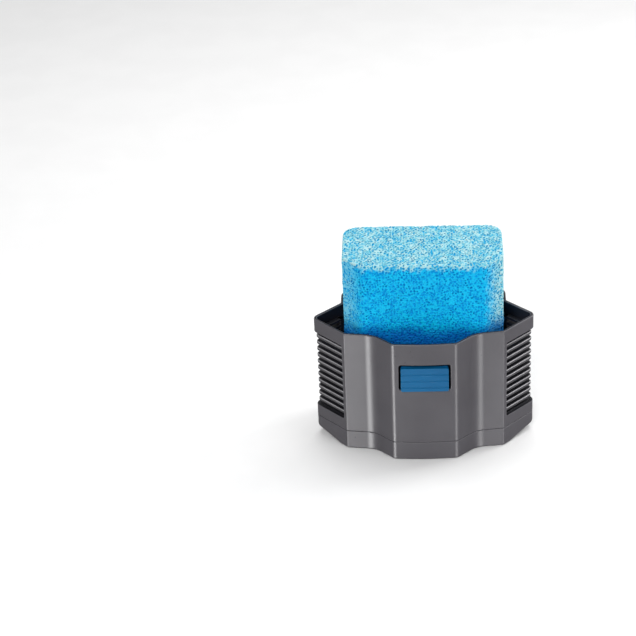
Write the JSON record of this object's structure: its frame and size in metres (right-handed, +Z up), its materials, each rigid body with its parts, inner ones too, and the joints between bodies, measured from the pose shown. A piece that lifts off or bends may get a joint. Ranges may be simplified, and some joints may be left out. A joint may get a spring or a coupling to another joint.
{
  "type": "aquarium filter foam module",
  "caption": "Louvred internal aquarium filter module with a base tray, a lift-out foam block and a front release button",
  "frame": {"origin": "bottom centre of the whole part, on the surface it stands on", "axes": "+Z up, -Y toward the front wall with the release button, +X to the right seen from the front"},
  "size_m": [0.1264, 0.069, 0.1196],
  "materials": {
    "housing": "satin",
    "inner": "matte",
    "button": "satin",
    "foam": "matte",
    "steel": "satin"
  },
  "bodies": {
    "module": {"housing_shell": "housing", "louvre_panel_left": "housing", "louvre_panel_right": "housing", "base_tray": "housing", "foam_support_grate": "inner", "foam_guide_front_left": "inner", "foam_guide_front_right": "inner", "foam_guide_rear_left": "inner", "foam_guide_rear_right": "inner", "tray_clip_front_left": "inner", "tray_clip_front_right": "inner", "tray_clip_rear_left": "inner", "tray_clip_rear_right": "inner", "latch_bracket": "inner", "latch_pin": "steel", "bracket_screw_left": "steel", "bracket_screw_right": "steel"},
    "foam": {"filter_foam": "foam"},
    "latch": {"release_button": "button", "latch_lever": "inner", "latch_spring": "steel"}
  },
  "joints": [
    {"name": "foam_lift", "type": "slide", "parent": "module", "child": "foam", "axis": [0, 0, 1], "range_m": [-0.046, 0.02]},
    {"name": "latch_press", "type": "hinge", "parent": "module", "child": "latch", "pos_m": [0, -0.02415, 0.0473], "axis": [-1, 0, 0], "range_deg": [0, 8], "stiffness_Nm_per_rad": 0.05, "springref_deg": -8.02}
  ]
}
